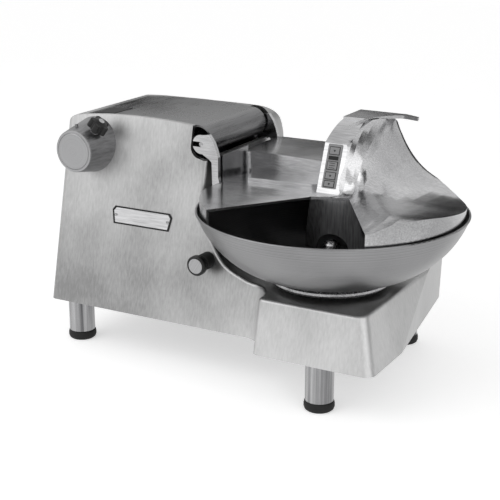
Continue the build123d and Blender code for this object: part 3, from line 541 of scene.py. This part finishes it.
underside = [(-505, 40), (-505, 150), (-330, 245), (-140, 245),
             (60, 100), (108, -60), (20, -40), (-300, -60)]
bracketHoles = [(y, z) for y in (9, 27, 183, 201) for z in (338, 358)]
fasteners = {
    "bottomScrews": (smallScrew, (0, 0, -1), [at(x, y, 86.0) for x, y in underside]),
    "flangeScrews": (smallScrew, (-1, 0, 0), boltCircle(-249, 27, (45, 135, 225, 315))),
    "motorBolts": (largeScrew, (-1, 0, 0), boltCircle(-436, 67, (30, 120, 210, 300))),
    "bracketScrews": (smallScrew, (-1, 0, 0), [at(-245, y, z) for y, z in bracketHoles]),
}
for name, (sizes, direction, places) in fasteners.items():
    screws = spread(socketScrew(sizes), [facing(direction, place) for place in places], name)
    complete(screws, machined, "machine")

# thumb screw: metal insert in the end of the knob
knobInsert = {"radius": 0.0055, "tall": 0.0012, "rim": 0.0014, "step": 0.0008, "sunk": 0.0005,
              "tilt": 38, "fromHub": 0.0682, "screwY": -50}
clearSelection()
bpy.ops.mesh.primitive_cylinder_add(vertices=32, radius=knobInsert["radius"], depth=knobInsert["tall"])
insert = startPiece("knobInsert")
pickFaces(insert, lambda centre, normal: normal.z > 0.9)
bpy.ops.mesh.inset(thickness=knobInsert["rim"], depth=0)
bpy.ops.mesh.inset(thickness=knobInsert["step"], depth=-knobInsert["sunk"])
bpy.ops.object.mode_set(mode="OBJECT")
thumb = Vector((math.sin(math.radians(knobInsert["tilt"])), 0, math.cos(math.radians(knobInsert["tilt"]))))
screwFoot = at(hubAxis["x"], knobInsert["screwY"], hubAxis["z"])
seat(insert, facing(thumb, screwFoot + thumb * knobInsert["fromHub"]))
complete(insert, machined, "thumb_screw")

# cable gland: hexagonal clamp nut behind its domed end
glandNut = {"corner": 0.0155, "tall": 0.006, "face": 0.0012, "soft": 0.0008, "centre": (-420, 273, 130)}
clearSelection()
bpy.ops.mesh.primitive_cylinder_add(vertices=6, radius=glandNut["corner"], depth=glandNut["tall"])
nut = startPiece("glandNut")
pickFaces(nut, lambda centre, normal: abs(normal.z) > 0.9)
bpy.ops.mesh.inset(thickness=glandNut["face"], depth=0)
bpy.ops.mesh.delete(type="FACE")
bpy.ops.mesh.select_all(action="DESELECT")
bpy.ops.mesh.select_mode(type="EDGE")
bpy.ops.mesh.select_non_manifold()
bpy.ops.mesh.edge_face_add()
bpy.ops.mesh.select_mode(type="FACE")
bpy.ops.object.mode_set(mode="OBJECT")
roundOver(nut, glandNut["soft"], 2, 40)
seat(nut, facing((0, 1, 0), at(*glandNut["centre"])))
complete(nut, blackPlastic, "machine")
print("modelled pieces made")

# stage, lamps and camera: lamp powers in watts, places and sizes in metres
studio = {"floor": 6.0, "floorGlow": 0.5, "worldFill": 0.5, "key": 19.0, "fill": 6.0, "flag": "#1a1a1a"}


def seenDirectly(tree):
    # 1 for camera, glossy and transmission rays, and 0 for the rays that light the object
    path = addNode(tree, "ShaderNodeLightPath")
    seen = addNode(tree, "ShaderNodeMath", {"operation": "MAXIMUM"},
                   {0: path.outputs["Is Camera Ray"], 1: path.outputs["Is Glossy Ray"]})
    return addNode(tree, "ShaderNodeMath", {"operation": "MAXIMUM"},
                   {0: seen.outputs["Value"], 1: path.outputs["Is Transmission Ray"]})


clearSelection()
bpy.ops.mesh.primitive_plane_add(size=studio["floor"] * 2, location=(0, 0, 0))
floor = bpy.context.object
floor.name = "floor"
floorMaterial, tree, shader = startMaterial("paleSweep", {"Base Color": srgb("#f4f4f4"), "Roughness": 0.9})
seen = seenDirectly(tree)
glow = addNode(tree, "ShaderNodeEmission", {"Color": (1, 1, 1, 1), "Strength": studio["floorGlow"]})
both = addNode(tree, "ShaderNodeAddShader", {}, {0: shader.outputs["BSDF"], 1: glow.outputs["Emission"]})
shown = addNode(tree, "ShaderNodeMixShader", {}, {"Fac": seen.outputs["Value"], 1: shader.outputs["BSDF"],
                                                 2: both.outputs["Shader"]})
tree.links.new(shown.outputs["Shader"], tree.nodes["Material Output"].inputs["Surface"])
floor.data.materials.append(floorMaterial)

# dark flags, seen only in reflections, where they give polished metal its dark edges
flagLook = {"Base Color": srgb(studio["flag"]), "Roughness": 1.0}
flagMaterial, tree, shader = startMaterial("blackFlannel", flagLook)
upright = math.pi / 2
flags = {
    "backFlag": ((-1.1, 2.3, 0.62), (upright, 0, 0), (4.0, 0.84)),
    "rightFlag": ((2.4, 0.9, 0.9), (upright, 0, upright), (1.8, 1.4)),
    "topFlag": ((0.3, -0.5, 2.6), (0, 0, 0), (1.2, 1.0)),
}
for name, (place, turn, size) in flags.items():
    clearSelection()
    bpy.ops.mesh.primitive_plane_add(size=1, location=place, rotation=turn)
    flag = bpy.context.object
    flag.name = name
    flag.scale = (*size, 1)
    bpy.ops.object.transform_apply()
    flag.data.materials.append(flagMaterial)
    flag.visible_camera = flag.visible_diffuse = flag.visible_shadow = False

world = bpy.data.worlds.new("studioWorld")
bpy.context.scene.world = world
world.use_nodes = True
tree = world.node_tree
background = tree.nodes["Background"]
background.inputs["Color"].default_value = (1, 1, 1, 1)
seen = seenDirectly(tree)
level = addNode(tree, "ShaderNodeMapRange", {"To Min": studio["worldFill"], "To Max": 1.0},
                {"Value": seen.outputs["Value"]})
tree.links.new(level.outputs["Result"], background.inputs["Strength"])


def softBox(name, place, target, size, power):
    clearSelection()
    bpy.ops.object.light_add(type="AREA", location=place)
    lamp = bpy.context.object
    lamp.name = name
    lamp.data.shape = "RECTANGLE"
    lamp.data.size, lamp.data.size_y = size
    lamp.data.energy = power
    lamp.rotation_euler = (Vector(target) - Vector(place)).to_track_quat("-Z", "Y").to_euler()


softBox("keyBox", (-1.2, -1.6, 1.9), (0, 0, 0.25), (2.6, 2.0), studio["key"])
softBox("fillBox", (1.9, -0.9, 1.1), (0, 0, 0.25), (1.6, 1.6), studio["fill"])

viewAngle = {"azimuth": 29.069, "pitch": 17.419, "place": (836.8, -1788.4, 855.85), "lens": 87.86}
a, p = math.radians(viewAngle["azimuth"]), math.radians(viewAngle["pitch"])
looking = Vector((-math.sin(a) * math.cos(p), math.cos(a) * math.cos(p), -math.sin(p)))
clearSelection()
bpy.ops.object.camera_add(location=at(*viewAngle["place"]))
camera = bpy.context.object
camera.name = "camera"
camera.rotation_euler = looking.to_track_quat("-Z", "Y").to_euler()
camera.data.lens = viewAngle["lens"]
camera.data.sensor_width = 36.0
bpy.context.scene.camera = camera
bpy.context.scene.view_settings.view_transform = "Standard"
print("stage, light and camera placed")
